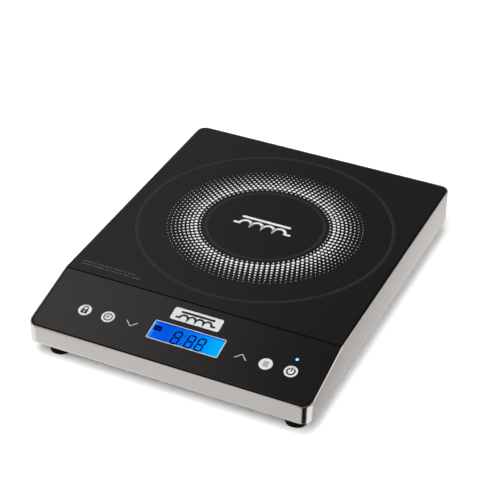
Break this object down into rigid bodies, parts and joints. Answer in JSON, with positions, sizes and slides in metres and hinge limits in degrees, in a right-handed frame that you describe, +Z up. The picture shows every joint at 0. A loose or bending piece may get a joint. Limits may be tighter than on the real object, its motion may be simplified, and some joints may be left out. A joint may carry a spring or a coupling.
{
  "type": "countertop induction cooktop",
  "caption": "Countertop induction cooktop: brushed steel skirt, black glass hob, sloped touch panel with a backlit display, round feet, and a spinning cooling fan inside.",
  "frame": {"origin": "on the floor, under the middle of the bounding box", "axes": "+X to the right across the hob, +Y to the back, away from the control panel, +Z up"},
  "size_m": [0.298, 0.388, 0.058],
  "materials": {
    "steel": "fine brushed stainless sheet",
    "trim": "glossy black",
    "hob_glass": "polished black ceramic glass",
    "panel_glass": "polished black back-painted glass",
    "display_glass": "clear window over a blue backlit display",
    "gasket": "matt silicone",
    "base_plastic": "fine grain",
    "foot_rubber": "matt",
    "screw": "plated",
    "gland_plastic": "smooth",
    "circuit_board": "green solder mask",
    "lcd_frame": "grey",
    "spring_steel": "plated wire",
    "led": "clear blue",
    "buzzer_plastic": "smooth",
    "carrier_plastic": "smooth",
    "winding": "enamelled copper wire",
    "mica": "pressed mica sheet",
    "ferrite": "sintered, matt",
    "silicone": "matt silicone",
    "fan_plastic": "smooth",
    "bearing": "sintered bronze",
    "heatsink": "extruded",
    "device_resin": "moulded resin",
    "film_capacitor": "potted case",
    "choke_winding": "enamelled wire on a ring core",
    "fuse_body": "white tube",
    "transformer_tape": "yellow tape",
    "terminal_plastic": "off-white"
  },
  "bodies": {
    "cooktop": {"steel_housing": "steel", "top_frame": "trim", "hob_glass": "hob_glass", "control_panel": "panel_glass", "display_lens": "display_glass", "glass_gasket": "gasket", "panel_gasket": "gasket", "base_cover": "base_plastic", "foot_front_left": "foot_rubber", "foot_front_right": "foot_rubber", "foot_rear_left": "foot_rubber", "foot_rear_right": "foot_rubber", "foot_screw_front_left": "screw", "foot_screw_front_right": "screw", "foot_screw_rear_left": "screw", "foot_screw_rear_right": "screw", "base_screw_1": "screw", "base_screw_2": "screw", "base_screw_3": "screw", "base_screw_4": "screw", "base_screw_5": "screw", "base_screw_6": "screw", "control_screw_left": "screw", "control_screw_right": "screw", "cord_gland": "gland_plastic", "control_board": "circuit_board", "power_board": "circuit_board", "lcd_module": "lcd_frame", "touch_spring_lock": "spring_steel", "touch_spring_timer": "spring_steel", "touch_spring_down": "spring_steel", "touch_spring_up": "spring_steel", "touch_spring_menu": "spring_steel", "touch_spring_power": "spring_steel", "power_led": "led", "buzzer": "buzzer_plastic", "coil_carrier": "carrier_plastic", "coil_inner": "winding", "coil_outer": "winding", "fan_stator": "winding", "mica_sheet": "mica", "ferrite_bar_1": "ferrite", "ferrite_bar_2": "ferrite", "ferrite_bar_3": "ferrite", "ferrite_bar_4": "ferrite", "ferrite_bar_5": "ferrite", "ferrite_bar_6": "ferrite", "glass_thermistor": "silicone", "fan_frame": "fan_plastic", "fan_bearing": "bearing", "heatsink": "heatsink", "power_transistor": "device_resin", "bridge_rectifier": "device_resin", "resonant_capacitor": "film_capacitor", "filter_capacitor": "film_capacitor", "line_choke": "choke_winding", "line_fuse": "fuse_body", "standby_transformer": "transformer_tape", "mains_terminal": "terminal_plastic"},
    "fan": {"fan_rotor": "fan_plastic"}
  },
  "joints": [
    {"name": "fan_spin", "type": "hinge", "parent": "cooktop", "child": "fan", "pos_m": [-0.092, 0.115, 0.025], "axis": [0, 0, 1], "continuous": true}
  ]
}
